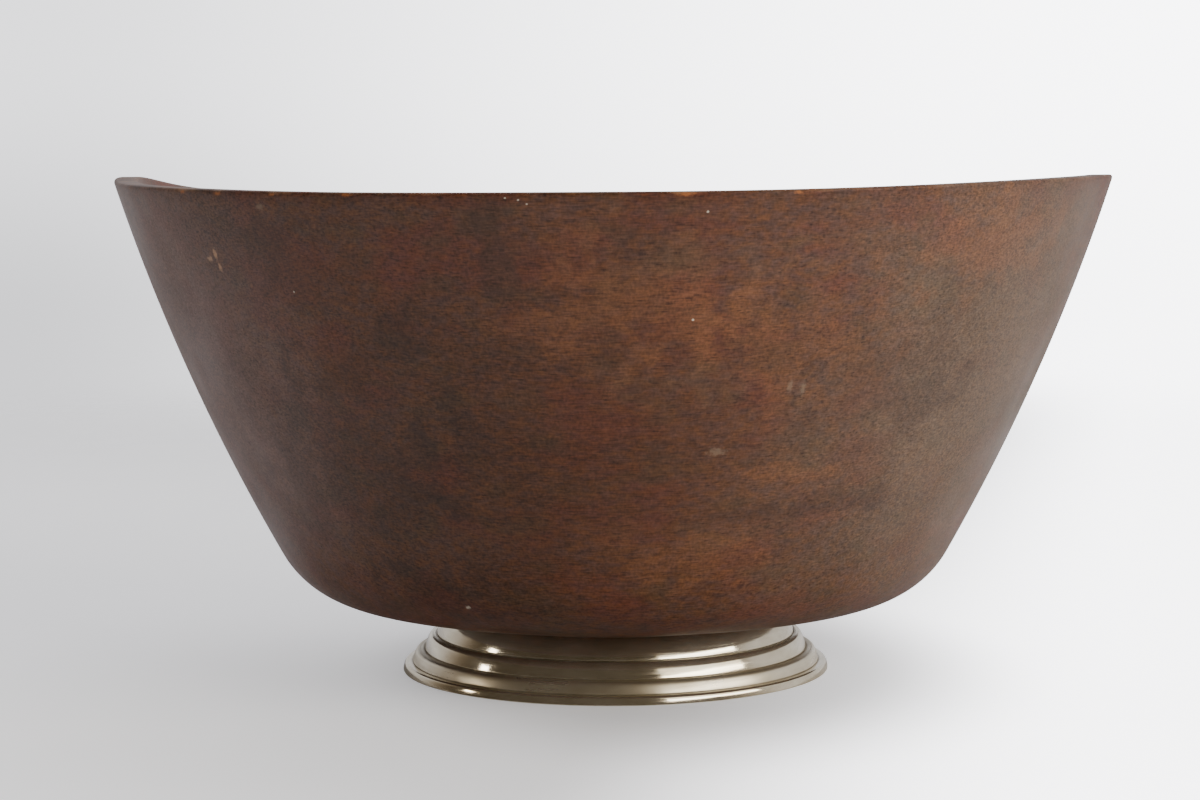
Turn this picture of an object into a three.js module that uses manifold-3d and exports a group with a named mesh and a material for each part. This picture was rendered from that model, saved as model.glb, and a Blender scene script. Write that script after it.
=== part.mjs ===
// A turned wooden bowl on a stepped silver foot, in millimetres, with +Z up.
//
// The bowl is one piece of wood with its grain along X. Its rim is low at the front and back and
// rises to a tip at each end of the grain. The foot is a thin silver ring. A wooden core fills it
// and clamps its top flange against the bowl, four wood screws hold the core, and a felt pad covers
// the screw heads. The origin is on the table, on the bowl's axis.

import * as THREE from 'three';
import { mergeVertices } from 'three/addons/utils/BufferGeometryUtils.js';
import Module from 'manifold-3d';

// The bowl: its reach, its rim and its wall.
const TIP_RADIUS = 127.4;
const RIM_HEIGHT = 122.3;
const TIP_RISE = 6;
const RIM_THICKNESS = 6;
const RIM_EDGE = 1.2;
const FLOOR_THICKNESS = 10;
const KNEE_THICKNESS = 9.6;

// The bowl's outline: a sloping underside, a round knee and a wall that curves gently to the rim.
const SEAT_MARGIN = 0.8;
const UNDERSIDE_SLOPE = 10.5;
const FLOOR_SLOPE = 2;
const KNEE_CENTRE = 59;
const KNEE_RADIUS = 33;
const WALL_SLOPE = 61;

// The silver foot: a flange and two round-shouldered steps under a neck, each set back from the last.
const FOOT_RADIUS = 55.5;
const FLANGE_HEIGHT = 1.95;
const LOWER_STEP_HEIGHT = 3.05;
const UPPER_STEP_HEIGHT = 3.95;
const NECK_HEIGHT = 6.05;
const LOWER_STEP_SETBACK = 2.5;
const UPPER_STEP_SETBACK = 3.2;
const NECK_SETBACK = 3.2;
const NECK_TAPER = 1.6;
const GROOVE_DEPTH = 0.5;
const SILVER_THICKNESS = 0.9;
const FLANGE_REACH = 11.5;

// What the foot holds: the core, the screws and the pad.
const PAD_THICKNESS = 1.3;
const PAD_RECESS = 0.3;
const SCREW_COUNT = 4;
const SCREW_CIRCLE = 22;
const SCREW_HEAD_RADIUS = 3.8;
const SCREW_SHANK_RADIUS = 1.9;
const SCREW_POINT = 4;
const SCREW_TIP_COVER = 3;
const HEAD_SINK = 1.4;
const SLOT_WIDTH = 1.1;
const SLOT_DEPTH = 1;

// Clearances between pieces, and how far a cutting tool runs past the face that it cuts.
const FIT = 0.3;
const CORE_CLEARANCE = 0.5;
const OVERRUN = 1;

// How finely round shapes are drawn.
const TURNED_SIDES = 72;
const SCREW_SIDES = 20;
const KNEE_STEPS = 6;
const WALL_STEPS = 6;
const SHOULDER_STEPS = 4;
const EDGE_STEPS = 2;

// Values that the pieces share.
const TIP_HEIGHT = RIM_HEIGHT + TIP_RISE;
const LOWER_STEP_BASE = FLANGE_HEIGHT;
const UPPER_STEP_BASE = LOWER_STEP_BASE + LOWER_STEP_HEIGHT;
const NECK_BASE = UPPER_STEP_BASE + UPPER_STEP_HEIGHT;
const FOOT_HEIGHT = NECK_BASE + NECK_HEIGHT;
const LOWER_STEP_RADIUS = FOOT_RADIUS - LOWER_STEP_SETBACK;
const UPPER_STEP_RADIUS = LOWER_STEP_RADIUS - UPPER_STEP_SETBACK;
const NECK_RADIUS = UPPER_STEP_RADIUS - NECK_SETBACK;
const NECK_TOP_RADIUS = NECK_RADIUS - NECK_TAPER;
const FLANGE_INNER_RADIUS = NECK_TOP_RADIUS - FLANGE_REACH;
const FOOT_MOUTH_RADIUS = LOWER_STEP_RADIUS - GROOVE_DEPTH - SILVER_THICKNESS;
const SEAT_RADIUS = NECK_TOP_RADIUS + SEAT_MARGIN;
const FLOOR_HEIGHT = FOOT_HEIGHT + FLOOR_THICKNESS;
const CORE_BASE = PAD_RECESS + PAD_THICKNESS;
const HEAD_FACE = CORE_BASE + HEAD_SINK;
const HEAD_DEPTH = SCREW_HEAD_RADIUS - SCREW_SHANK_RADIUS;
const SCREW_TIP = FLOOR_HEIGHT - SCREW_TIP_COVER;

const wasm = await Module();
wasm.setup();

const point = (radius, height) => new THREE.Vector2(radius, height);
const radians = THREE.MathUtils.degToRad;

// A curve that leaves its start at a slope and bends evenly until it reaches its end.
class WallCurve extends THREE.Curve {
  constructor(start, slope, end) {
    super();
    this.start = start;
    this.slope = slope;
    this.chord = start.distanceTo(end);
    this.halfTurn = Math.atan2(end.y - start.y, end.x - start.x) - slope;
  }

  getPoint(t) {
    const bend = Math.sin(this.halfTurn);
    const share = Math.abs(bend) < 1e-9 ? t : Math.sin(this.halfTurn * t) / bend;
    const angle = this.slope + this.halfTurn * t;
    return point(
      this.start.x + this.chord * share * Math.cos(angle),
      this.start.y + this.chord * share * Math.sin(angle),
    );
  }

  // The share of the curve that lies below a height.
  shareBelow(height) {
    let low = 0;
    let high = 1;
    for (let halving = 0; halving < 40; halving += 1) {
      const middle = (low + high) / 2;
      if (this.getPoint(middle).y < height) low = middle;
      else high = middle;
    }
    return low;
  }

  // Evenly spaced points from the start up to a height.
  pointsUpTo(height, steps) {
    const share = this.shareBelow(height);
    return Array.from({ length: steps + 1 }, (_, i) => this.getPoint((share * i) / steps));
  }
}

// One side of the bowl's wall: the round knee at the end of a sloping line, and the wall above it.
function bowlSide(lineStart, lineSlope, kneeRadius, tipRadius) {
  const slope = radians(lineSlope);
  const wallSlope = radians(WALL_SLOPE);
  const kneeStart = KNEE_CENTRE + kneeRadius * Math.sin(slope);
  const kneeHeight = lineStart.y + (kneeStart - lineStart.x) * Math.tan(slope);
  const centre = point(KNEE_CENTRE, kneeHeight + kneeRadius * Math.cos(slope));
  const knee = Array.from({ length: KNEE_STEPS + 1 }, (_, i) => {
    const angle = THREE.MathUtils.lerp(slope, wallSlope, i / KNEE_STEPS);
    return point(centre.x + kneeRadius * Math.sin(angle), centre.y - kneeRadius * Math.cos(angle));
  });
  const wall = new WallCurve(knee.at(-1), wallSlope, point(tipRadius, TIP_HEIGHT));
  return { knee, wall };
}

const outside = bowlSide(point(SEAT_RADIUS, FOOT_HEIGHT), UNDERSIDE_SLOPE, KNEE_RADIUS, TIP_RADIUS);
const inside = bowlSide(
  point(0, FLOOR_HEIGHT),
  FLOOR_SLOPE,
  KNEE_RADIUS - KNEE_THICKNESS,
  TIP_RADIUS - RIM_THICKNESS,
);

// The rim's height at an angle from the front: flat at the front and back, highest at each tip.
const rimHeight = (angle) => RIM_HEIGHT + TIP_RISE * Math.abs(Math.sin(angle)) ** 3;

// The bowl's outline where its rim has a given height.
function bowlOutline(height) {
  const shoulder = height - RIM_EDGE;
  const outer = outside.wall.pointsUpTo(shoulder, WALL_STEPS);
  const inner = inside.wall.pointsUpTo(shoulder, WALL_STEPS);
  const outerTop = outside.wall.getPoint(outside.wall.shareBelow(height));
  const innerTop = inside.wall.getPoint(inside.wall.shareBelow(height));
  const outerCorner = point(outerTop.x, height);
  const innerCorner = point(innerTop.x, height);
  const outerEdge = new THREE.QuadraticBezierCurve(
    outer.at(-1),
    outerCorner,
    point(outerTop.x - RIM_EDGE, height),
  );
  const innerEdge = new THREE.QuadraticBezierCurve(
    point(innerTop.x + RIM_EDGE, height),
    innerCorner,
    inner.at(-1),
  );
  return [
    point(0, FOOT_HEIGHT),
    point(SEAT_RADIUS, FOOT_HEIGHT),
    ...outside.knee,
    ...outer.slice(1, -1),
    ...outerEdge.getPoints(EDGE_STEPS),
    ...innerEdge.getPoints(EDGE_STEPS),
    ...inner.slice(1, -1).reverse(),
    ...inside.knee.toReversed(),
    point(0, FLOOR_HEIGHT),
  ];
}

// Turns an outline about Z. The outline may change with the angle, which is 0 at the front.
function turned(outlineAt, sides = TURNED_SIDES) {
  const count = outlineAt(0).length;
  const geometry = new THREE.LatheGeometry(outlineAt(0), sides);
  const position = geometry.getAttribute('position');
  for (let side = 0; side <= sides; side += 1) {
    const angle = (2 * Math.PI * (side % sides)) / sides;
    outlineAt(angle).forEach((p, i) => {
      position.setXYZ(side * count + i, p.x * Math.sin(angle), -p.x * Math.cos(angle), p.y);
    });
  }
  return geometry;
}

// Changes a closed geometry into a solid that can be cut.
function solidOf(geometry) {
  const bare = geometry.clone();
  bare.deleteAttribute('normal');
  bare.deleteAttribute('uv');
  const merged = mergeVertices(bare, 1e-4);
  return new wasm.Manifold(
    new wasm.Mesh({
      numProp: 3,
      vertProperties: new Float32Array(merged.getAttribute('position').array),
      triVerts: new Uint32Array(merged.index.array),
    }),
  );
}

// Cuts tools out of a geometry.
function cut(geometry, tools) {
  const solid = tools.reduce((body, tool) => body.subtract(solidOf(tool)), solidOf(geometry));
  const mesh = solid.getMesh();
  const result = new THREE.BufferGeometry();
  result.setAttribute('position', new THREE.BufferAttribute(mesh.vertProperties, 3));
  result.setIndex(new THREE.BufferAttribute(mesh.triVerts, 1));
  result.computeVertexNormals();
  return result;
}

const screwAngles = Array.from(
  { length: SCREW_COUNT },
  (_, i) => (2 * Math.PI * (i + 0.5)) / SCREW_COUNT,
);

// Copies a tool to each of the screws' places.
function atScrews(tool) {
  return screwAngles.map((angle) =>
    tool.clone().translate(SCREW_CIRCLE * Math.cos(angle), SCREW_CIRCLE * Math.sin(angle), 0),
  );
}

// The bowl, with a blind hole over each screw.
function bowlBody() {
  const hole = turned(
    () => [
      point(0, FOOT_HEIGHT - OVERRUN),
      point(SCREW_SHANK_RADIUS + FIT, FOOT_HEIGHT - OVERRUN),
      point(SCREW_SHANK_RADIUS + FIT, SCREW_TIP - SCREW_POINT + FIT),
      point(0, SCREW_TIP + FIT),
    ],
    SCREW_SIDES,
  );
  return cut(turned((angle) => bowlOutline(rimHeight(angle))), atScrews(hole));
}

// One step of the foot: it comes out of the groove below it and rolls in to the radius above it.
function footStep(base, height, radius, topRadius) {
  const out = point(radius, base + GROOVE_DEPTH);
  const roll = new THREE.QuadraticBezierCurve(
    out,
    point(radius, base + height),
    point(topRadius, base + height),
  );
  return [point(radius - GROOVE_DEPTH, base), ...roll.getPoints(SHOULDER_STEPS)];
}

// The neck: upright at its foot, and leaning in towards the bowl.
function footNeck() {
  const lean = new THREE.QuadraticBezierCurve(
    point(NECK_RADIUS, NECK_BASE + GROOVE_DEPTH),
    point(NECK_RADIUS, NECK_BASE + NECK_HEIGHT / 2),
    point(NECK_TOP_RADIUS, FOOT_HEIGHT),
  );
  return [point(NECK_RADIUS - GROOVE_DEPTH, NECK_BASE), ...lean.getPoints(SHOULDER_STEPS)];
}

// The inner face of the silver above its mouth, moved inwards by a clearance.
function footInside(clearance) {
  const behind = (radius) => radius - GROOVE_DEPTH - SILVER_THICKNESS - clearance;
  return [
    point(behind(LOWER_STEP_RADIUS), LOWER_STEP_BASE),
    point(behind(UPPER_STEP_RADIUS), UPPER_STEP_BASE),
    point(behind(NECK_RADIUS), NECK_BASE),
    point(NECK_TOP_RADIUS - SILVER_THICKNESS - clearance, FOOT_HEIGHT - SILVER_THICKNESS),
  ];
}

// The silver foot: a ring with a flat lower face and a flange that turns in under the bowl.
function footShell() {
  const outline = [
    point(FOOT_MOUTH_RADIUS, 0),
    ...footStep(0, FLANGE_HEIGHT, FOOT_RADIUS, LOWER_STEP_RADIUS - GROOVE_DEPTH),
    ...footStep(
      LOWER_STEP_BASE,
      LOWER_STEP_HEIGHT,
      LOWER_STEP_RADIUS,
      UPPER_STEP_RADIUS - GROOVE_DEPTH,
    ).slice(1),
    ...footStep(
      UPPER_STEP_BASE,
      UPPER_STEP_HEIGHT,
      UPPER_STEP_RADIUS,
      NECK_RADIUS - GROOVE_DEPTH,
    ).slice(1),
    ...footNeck().slice(1),
    point(FLANGE_INNER_RADIUS, FOOT_HEIGHT),
    point(FLANGE_INNER_RADIUS, FOOT_HEIGHT - SILVER_THICKNESS),
    ...footInside(0).reverse(),
    point(FOOT_MOUTH_RADIUS, 0),
  ];
  return turned(() => outline);
}

// The wooden core: it fills the silver, holds the flange up and has a countersunk hole for each screw.
function footCore() {
  const wall = footInside(CORE_CLEARANCE);
  const outline = [
    point(0, CORE_BASE),
    point(wall[0].x, CORE_BASE),
    ...wall,
    point(FLANGE_INNER_RADIUS - FIT, FOOT_HEIGHT - SILVER_THICKNESS),
    point(FLANGE_INNER_RADIUS - FIT, FOOT_HEIGHT),
    point(0, FOOT_HEIGHT),
  ];
  const hole = turned(
    () => [
      point(0, CORE_BASE - OVERRUN),
      point(SCREW_HEAD_RADIUS + FIT, CORE_BASE - OVERRUN),
      point(SCREW_HEAD_RADIUS + FIT, HEAD_FACE),
      point(SCREW_SHANK_RADIUS + FIT, HEAD_FACE + HEAD_DEPTH),
      point(SCREW_SHANK_RADIUS + FIT, FOOT_HEIGHT + OVERRUN),
      point(0, FOOT_HEIGHT + OVERRUN),
    ],
    SCREW_SIDES,
  );
  return cut(turned(() => outline), atScrews(hole));
}

// A countersunk wood screw that points up, with a slot across its head.
function woodScrew() {
  const body = turned(
    () => [
      point(0, HEAD_FACE),
      point(SCREW_HEAD_RADIUS, HEAD_FACE),
      point(SCREW_SHANK_RADIUS, HEAD_FACE + HEAD_DEPTH),
      point(SCREW_SHANK_RADIUS, SCREW_TIP - SCREW_POINT),
      point(0, SCREW_TIP),
    ],
    SCREW_SIDES,
  );
  const slotLength = 2 * (SCREW_HEAD_RADIUS + OVERRUN);
  const slot = new THREE.BoxGeometry(slotLength, SLOT_WIDTH, 2 * SLOT_DEPTH);
  return cut(body, [slot.translate(0, 0, HEAD_FACE)]);
}

// The felt pad, a flat disc just above the table.
function basePad() {
  const radius = FOOT_MOUTH_RADIUS - FIT;
  return turned(() => [
    point(0, PAD_RECESS),
    point(radius, PAD_RECESS),
    point(radius, CORE_BASE),
    point(0, CORE_BASE),
  ]);
}

const stainedWood = new THREE.MeshStandardMaterial({ color: '#6a3c27', roughness: 0.5 });
const silver = new THREE.MeshStandardMaterial({ color: '#cbc5b9', roughness: 0.22, metalness: 1 });
const bareWood = new THREE.MeshStandardMaterial({ color: '#b08c62', roughness: 0.7 });
const brass = new THREE.MeshStandardMaterial({ color: '#b7954f', roughness: 0.35, metalness: 1 });
const felt = new THREE.MeshStandardMaterial({ color: '#24392c', roughness: 0.95 });

function piece(name, geometry, material) {
  const mesh = new THREE.Mesh(geometry, material);
  mesh.name = name;
  return mesh;
}

const bowl = new THREE.Group();
bowl.add(piece('bowl_body', bowlBody(), stainedWood));

const foot = new THREE.Group();
foot.add(piece('foot_shell', footShell(), silver));
foot.add(piece('foot_core', footCore(), bareWood));
foot.add(piece('base_pad', basePad(), felt));
const screwGeometry = woodScrew();
screwAngles.forEach((angle, i) => {
  const screw = piece(`foot_screw_${i + 1}`, screwGeometry, brass);
  screw.position.set(SCREW_CIRCLE * Math.cos(angle), SCREW_CIRCLE * Math.sin(angle), 0);
  screw.rotation.z = angle;
  foot.add(screw);
});
bowl.add(foot);

export default bowl;
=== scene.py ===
"""Dresses a turned wooden bowl on a stepped silver foot.

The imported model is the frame: it gives every piece its place and its overall size. The bowl, the
silver foot and the felt pad are fine surfaces worked out here. The wooden core and the screws keep
their own meshes and get a finish. Lengths are in metres and angles in radians, unless a field says
otherwise. An angle around the bowl is 0 at the front, which faces -Y, and a quarter turn at the +X
tip.
"""

import logging
import math
from collections.abc import Sequence
from dataclasses import dataclass
from enum import Enum

import bpy
import numpy as np
from mathutils import Matrix, Vector


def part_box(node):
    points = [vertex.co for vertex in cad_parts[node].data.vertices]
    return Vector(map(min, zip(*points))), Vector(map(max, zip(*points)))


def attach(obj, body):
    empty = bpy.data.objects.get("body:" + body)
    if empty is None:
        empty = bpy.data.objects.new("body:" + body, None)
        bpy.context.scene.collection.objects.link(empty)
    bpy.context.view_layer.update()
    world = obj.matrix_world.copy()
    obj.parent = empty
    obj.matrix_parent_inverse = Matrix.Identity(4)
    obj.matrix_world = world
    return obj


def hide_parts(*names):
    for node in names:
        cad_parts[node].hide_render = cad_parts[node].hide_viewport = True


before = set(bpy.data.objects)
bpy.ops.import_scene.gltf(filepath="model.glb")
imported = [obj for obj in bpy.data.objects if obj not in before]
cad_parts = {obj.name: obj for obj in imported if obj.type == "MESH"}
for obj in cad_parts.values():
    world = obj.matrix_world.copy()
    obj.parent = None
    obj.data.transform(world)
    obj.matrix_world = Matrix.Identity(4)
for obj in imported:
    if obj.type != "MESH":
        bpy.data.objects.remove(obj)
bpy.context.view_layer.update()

log = logging.getLogger("bowl")

Pair = tuple[float, float]
Triple = tuple[float, float, float]

MM = 0.001
BODY = "root"


class Closure(Enum):
    """How a turned outline closes."""

    ON_AXIS = "starts and ends on the axis"
    ON_ITSELF = "ends where it starts, clear of the axis"


def linear(code: str) -> tuple[float, float, float, float]:
    """Turns an sRGB hex colour into a linear one.

    Args:
        code: the colour, such as "#6a3c27".

    Returns:
        Red, green, blue and an alpha of 1.
    """
    levels = [int(code[i : i + 2], 16) / 255 for i in (1, 3, 5)]
    parts = [v / 12.92 if v <= 0.04045 else ((v + 0.055) / 1.055) ** 2.4 for v in levels]
    return (parts[0], parts[1], parts[2], 1.0)


def live(sockets: Sequence[bpy.types.NodeSocket], name: str | None = None) -> bpy.types.NodeSocket:
    """Finds the first socket that is in use, with a given name if there is one."""
    return next(s for s in sockets if s.enabled and (name is None or s.name == name))


def fill(tree: bpy.types.NodeTree, node: bpy.types.Node, sockets: dict[str | int, object]) -> None:
    """Fills inputs of a node.

    Args:
        tree: the node tree.
        node: the node.
        sockets: what each input gets, by name or index: a value, another node, whose first output
            in use is linked, or an output socket.
    """
    for key, value in sockets.items():
        socket = node.inputs[key] if isinstance(key, int) else live(node.inputs, key)
        if isinstance(value, bpy.types.Node):
            tree.links.new(live(value.outputs), socket)
        elif isinstance(value, bpy.types.NodeSocket):
            tree.links.new(value, socket)
        else:
            socket.default_value = value


def add_node(
    tree: bpy.types.NodeTree,
    kind: str,
    sockets: dict[str | int, object] | None = None,
    **settings: object,
) -> bpy.types.Node:
    """Adds a node with its settings and fills its inputs.

    Args:
        tree: the node tree.
        kind: the node's type, such as "Mix" or "TexNoise".
        sockets: what its inputs get, as in fill.
        settings: the node's own properties.

    Returns:
        The new node.
    """
    node = tree.nodes.new(f"ShaderNode{kind}")
    for name, value in settings.items():
        setattr(node, name, value)
    fill(tree, node, sockets or {})
    return node


def new_material(name: str) -> tuple[bpy.types.Material, bpy.types.NodeTree, bpy.types.Node]:
    """Makes a material with an output and a shader.

    Args:
        name: what the finish is called.

    Returns:
        The material, its node tree and its shader node.
    """
    material = bpy.data.materials.new(name)
    material.use_nodes = True
    tree = material.node_tree
    tree.nodes.clear()
    shader = add_node(tree, "BsdfPrincipled")
    add_node(tree, "OutputMaterial", {"Surface": shader})
    return material, tree, shader


def cloudy(
    tree: bpy.types.NodeTree,
    place: bpy.types.NodeSocket,
    sizes: Triple,
    detail: float,
    shift: float = 0.0,
) -> bpy.types.Node:
    """Adds a cloudy pattern, about 0.5 on average, on a place scaled to the clouds' sizes.

    Args:
        tree: the node tree.
        place: the place on the piece.
        sizes: how long one cloud is along X, Y and Z.
        detail: how many finer layers the pattern has.
        shift: moves the pattern by this many clouds, so that two patterns differ.

    Returns:
        The node that holds the pattern.
    """
    scale = tuple(1 / size for size in sizes)
    scaled = add_node(tree, "Mapping", {"Vector": place, "Scale": scale, "Location": (shift,) * 3})
    return add_node(tree, "TexNoise", {"Vector": scaled, "Scale": 1.0, "Detail": detail})


def lay(
    tree: bpy.types.NodeTree,
    under: bpy.types.Node | tuple[float, float, float, float],
    over: str,
    value: bpy.types.Node,
    span: Pair,
    share: float = 1.0,
    curve: str = "SMOOTHSTEP",
) -> bpy.types.Node:
    """Lays a colour over what is there: none at one value, up to a share of it at another.

    Args:
        tree: the node tree.
        under: the colour so far, as a node or a linear colour.
        over: the colour to lay over it, in sRGB.
        value: what says where it shows.
        span: the value where it starts to show, and the value where it shows most.
        share: how much of it shows there.
        curve: how it grows between the two.

    Returns:
        The node that holds the new colour.
    """
    shown = add_node(
        tree,
        "MapRange",
        {"Value": value, "From Min": span[0], "From Max": span[1], "To Max": share},
        interpolation_type=curve,
    )
    return add_node(tree, "Mix", {"Factor": shown, "A": under, "B": linear(over)}, data_type="RGBA")


def arc(centre: Pair, radius: float, start: float, end: float, steps: int) -> np.ndarray:
    """Points on an arc that turns upwards: the centre plus radius times (sin a, -cos a).

    Args:
        centre: the arc's centre, as radius from the axis and height.
        radius: the arc's own radius.
        start: the slope where it starts, above level.
        end: the slope where it ends.
        steps: how many steps it has.

    Returns:
        An array of steps + 1 points.
    """
    slope = np.linspace(start, end, steps + 1)
    return np.stack(
        [centre[0] + radius * np.sin(slope), centre[1] - radius * np.cos(slope)], axis=1
    )


def bend(start: np.ndarray, corner: np.ndarray, end: np.ndarray, steps: int) -> np.ndarray:
    """A quadratic curve, (1-t)^2 start + 2t(1-t) corner + t^2 end, for t from 0 to 1.

    Args:
        start: the first point or points, with the coordinates on the last axis.
        corner: the point that pulls the curve.
        end: the last point.
        steps: how many steps it has.

    Returns:
        An array with steps + 1 points on its first axis.
    """
    start, corner, end = (np.asarray(p, float) for p in (start, corner, end))
    t = np.linspace(0, 1, steps + 1).reshape((-1,) + (1,) * start.ndim)
    return (1 - t) ** 2 * start + 2 * t * (1 - t) * corner + t**2 * end


@dataclass(frozen=True)
class EvenCurve:
    """A curve that leaves its start at a slope and bends evenly until it reaches its end."""

    start: Pair
    slope: float
    end: Pair
    table_points: int = 400

    def points(self, share: np.ndarray) -> np.ndarray:
        """Points at shares of the curve, from 0 at the start to 1 at the end.

        The chord to a point has the length chord * sin(h t) / sin(h) and the angle slope + h t,
        where h is half the angle that the whole curve turns by.

        Args:
            share: the shares, in an array of any shape.

        Returns:
            The points, with radius and height on a new last axis.
        """
        run = self.end[0] - self.start[0]
        rise = self.end[1] - self.start[1]
        half = math.atan2(rise, run) - self.slope
        length = math.hypot(run, rise) * np.sin(half * share) / math.sin(half)
        angle = self.slope + half * share
        return np.stack(
            [self.start[0] + length * np.cos(angle), self.start[1] + length * np.sin(angle)],
            axis=-1,
        )

    def share_below(self, height: np.ndarray) -> np.ndarray:
        """The share of the curve that lies below each height, read off a fine table of points."""
        table = np.linspace(0, 1, self.table_points)
        return np.interp(height, self.points(table)[:, 1], table)


def mesh_object(
    name: str, points: np.ndarray, faces: np.ndarray, tails: np.ndarray
) -> bpy.types.Object:
    """Makes a smooth-shaded mesh object at the origin.

    Args:
        name: the piece's name.
        points: the vertices, one row each.
        faces: four-cornered faces, one row each.
        tails: three-cornered faces, one row each.

    Returns:
        The object, linked to the scene.
    """
    mesh = bpy.data.meshes.new(name)
    corners = np.concatenate([faces.ravel(), tails.ravel()]).astype(np.int32)
    sizes = np.concatenate([np.full(len(faces), 4), np.full(len(tails), 3)])
    starts = np.concatenate([[0], np.cumsum(sizes)[:-1]]).astype(np.int32)
    mesh.vertices.add(len(points))
    mesh.loops.add(len(corners))
    mesh.polygons.add(len(sizes))
    mesh.vertices.foreach_set("co", points.astype(np.float32).ravel())
    mesh.loops.foreach_set("vertex_index", corners)
    mesh.polygons.foreach_set("loop_start", starts)
    mesh.update(calc_edges=True)
    mesh.validate()
    mesh.shade_smooth()
    piece = bpy.data.objects.new(name, mesh)
    bpy.context.scene.collection.objects.link(piece)
    return piece


def ring_faces(rows: int, sides: int, first: int, closed: bool) -> np.ndarray:
    """Faces of a grid that is closed around the axis, and along its rows if asked.

    Args:
        rows: how many rings of vertices there are.
        sides: how many vertices each ring has.
        first: the index of the first vertex.
        closed: whether the last ring joins the first.

    Returns:
        The faces, with corners in the order that points outwards for an outline that runs up
        the outside and down the inside.
    """
    row = np.arange(rows if closed else rows - 1)[:, None]
    side = np.arange(sides)[None, :]
    after = (side + 1) % sides
    above = (row + 1) % rows
    corners = [
        row * sides + side,
        row * sides + after,
        above * sides + after,
        above * sides + side,
    ]
    return first + np.stack(np.broadcast_arrays(*corners), axis=-1).reshape(-1, 4)


def turned(
    name: str,
    radius: np.ndarray,
    height: np.ndarray,
    closure: Closure,
    marks: dict[str, np.ndarray] | None = None,
) -> bpy.types.Object:
    """Turns an outline about Z. The outline may change with the angle.

    A vertex at row i and angle a lies at (r sin a, -r cos a, h), where r and h are the outline's
    radius and height there.

    Args:
        name: the piece's name.
        radius: radius by row and side. With Closure.ON_AXIS, the first and last rows are 0.
        height: height by row and side.
        closure: how the outline closes.
        marks: values by row and side that materials read, by attribute name.

    Returns:
        The piece.
    """
    rows, sides = radius.shape
    side = np.arange(sides)
    angle = 2 * np.pi * side / sides
    grid = np.stack([radius * np.sin(angle), -radius * np.cos(angle), height], axis=-1)
    if closure is Closure.ON_ITSELF:
        points = grid.reshape(-1, 3)
        faces = ring_faces(rows, sides, 0, closed=True)
        tails = np.zeros((0, 3), int)
    else:
        points = np.concatenate([grid[:1, 0], grid[1:-1].reshape(-1, 3), grid[-1:, 0]])
        faces = ring_faces(rows - 2, sides, 1, closed=False)
        after = (side + 1) % sides
        last = 1 + (rows - 3) * sides
        pole = len(points) - 1
        first_fan = np.stack([np.zeros(sides, int), 1 + after, 1 + side], axis=1)
        last_fan = np.stack([np.full(sides, pole), last + side, last + after], axis=1)
        tails = np.concatenate([first_fan, last_fan])
    piece = mesh_object(name, points, faces, tails)
    for mark, values in (marks or {}).items():
        spread = np.broadcast_to(values, radius.shape)
        if closure is Closure.ON_AXIS:
            flat = np.concatenate([spread[:1, 0], spread[1:-1].ravel(), spread[-1:, 0]])
        else:
            flat = spread.ravel()
        layer = piece.data.attributes.new(mark, "FLOAT", "POINT")
        layer.data.foreach_set("value", flat.astype(np.float32))
    return piece


def evenly_turned(
    name: str,
    line: np.ndarray,
    sides: int,
    closure: Closure,
    marks: dict[str, np.ndarray] | None = None,
) -> bpy.types.Object:
    """Turns an outline that is the same all round.

    Args:
        name: the piece's name.
        line: radius and height, one row each.
        sides: how many sides the piece has.
        closure: how the outline closes.
        marks: one value for each row that materials read, by attribute name.

    Returns:
        The piece.
    """
    radius = np.repeat(line[:, :1], sides, axis=1)
    height = np.repeat(line[:, 1:], sides, axis=1)
    spread = {mark: values[:, None] for mark, values in (marks or {}).items()}
    return turned(name, radius, height, closure, spread)


class Tint(Enum):
    """What shows in a spot on the wood, as an sRGB colour."""

    DARK_STAIN = "#362722"
    GREY_STAIN = "#4c4136"
    RED_STAIN = "#4d2a14"
    THIN_STAIN = "#744b2f"
    # Painted sheen: the next two colours stand in for light glancing off the satin film at the bowl's
    # sides.
    PAINTED_SHEEN_GREY = "#5a4c3e"
    PAINTED_SHEEN_VIOLET = "#634c45"
    SCUFFED_FILM = "#85725f"
    BARE_WOOD = "#b48c6a"
    ORANGE_CHIP = "#9c6038"
    PALE_SPECK = "#c9bfae"


@dataclass(frozen=True)
class Spot:
    """A spot on the outside of the bowl: a patch in the stain, a painted sheen that stands in
    for light glancing off the film, or a mark where it was knocked.

    Attributes:
        angle: degrees from the front, towards +X.
        height: millimetres above the table.
        length: how far it reaches round the bowl from its middle, in millimetres.
        depth: how far it reaches up and down, in millimetres.
        strength: how much of its colour shows at its middle.
        tint: what shows in it.
    """

    angle: float
    height: float
    length: float
    depth: float
    strength: float
    tint: Tint


@dataclass(frozen=True)
class SpotKind:
    """Spots of one kind, broad or small.

    Attributes:
        spots: the spots, laid one over the other.
        tear_size: how coarse their ragged edges are.
        tear: how ragged their edges are. The bigger it is, the deeper the edge is torn.
    """

    spots: tuple[Spot, ...]
    tear_size: float
    tear: float


@dataclass(frozen=True)
class StainCloud:
    """A colour that shows in clouds in the stain.

    Attributes:
        colour: its sRGB colour.
        sizes: how long one cloud is along X, Y and Z.
        detail: how many finer layers the clouds have.
        shift: moves the clouds, so that no two colours share theirs.
        span: the pattern's values where the colour starts to show and where it shows most.
        share: how much of it shows there.
    """

    colour: str
    sizes: Triple
    detail: float
    shift: float
    span: Pair
    share: float


@dataclass(frozen=True)
class Shading:
    """A change in how light the wood is.

    Attributes:
        sizes: how long one light or dark patch is along X, Y and Z.
        detail: how many finer layers it has.
        share: how far it swings the lightness.
    """

    sizes: Triple
    detail: float
    share: float


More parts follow.
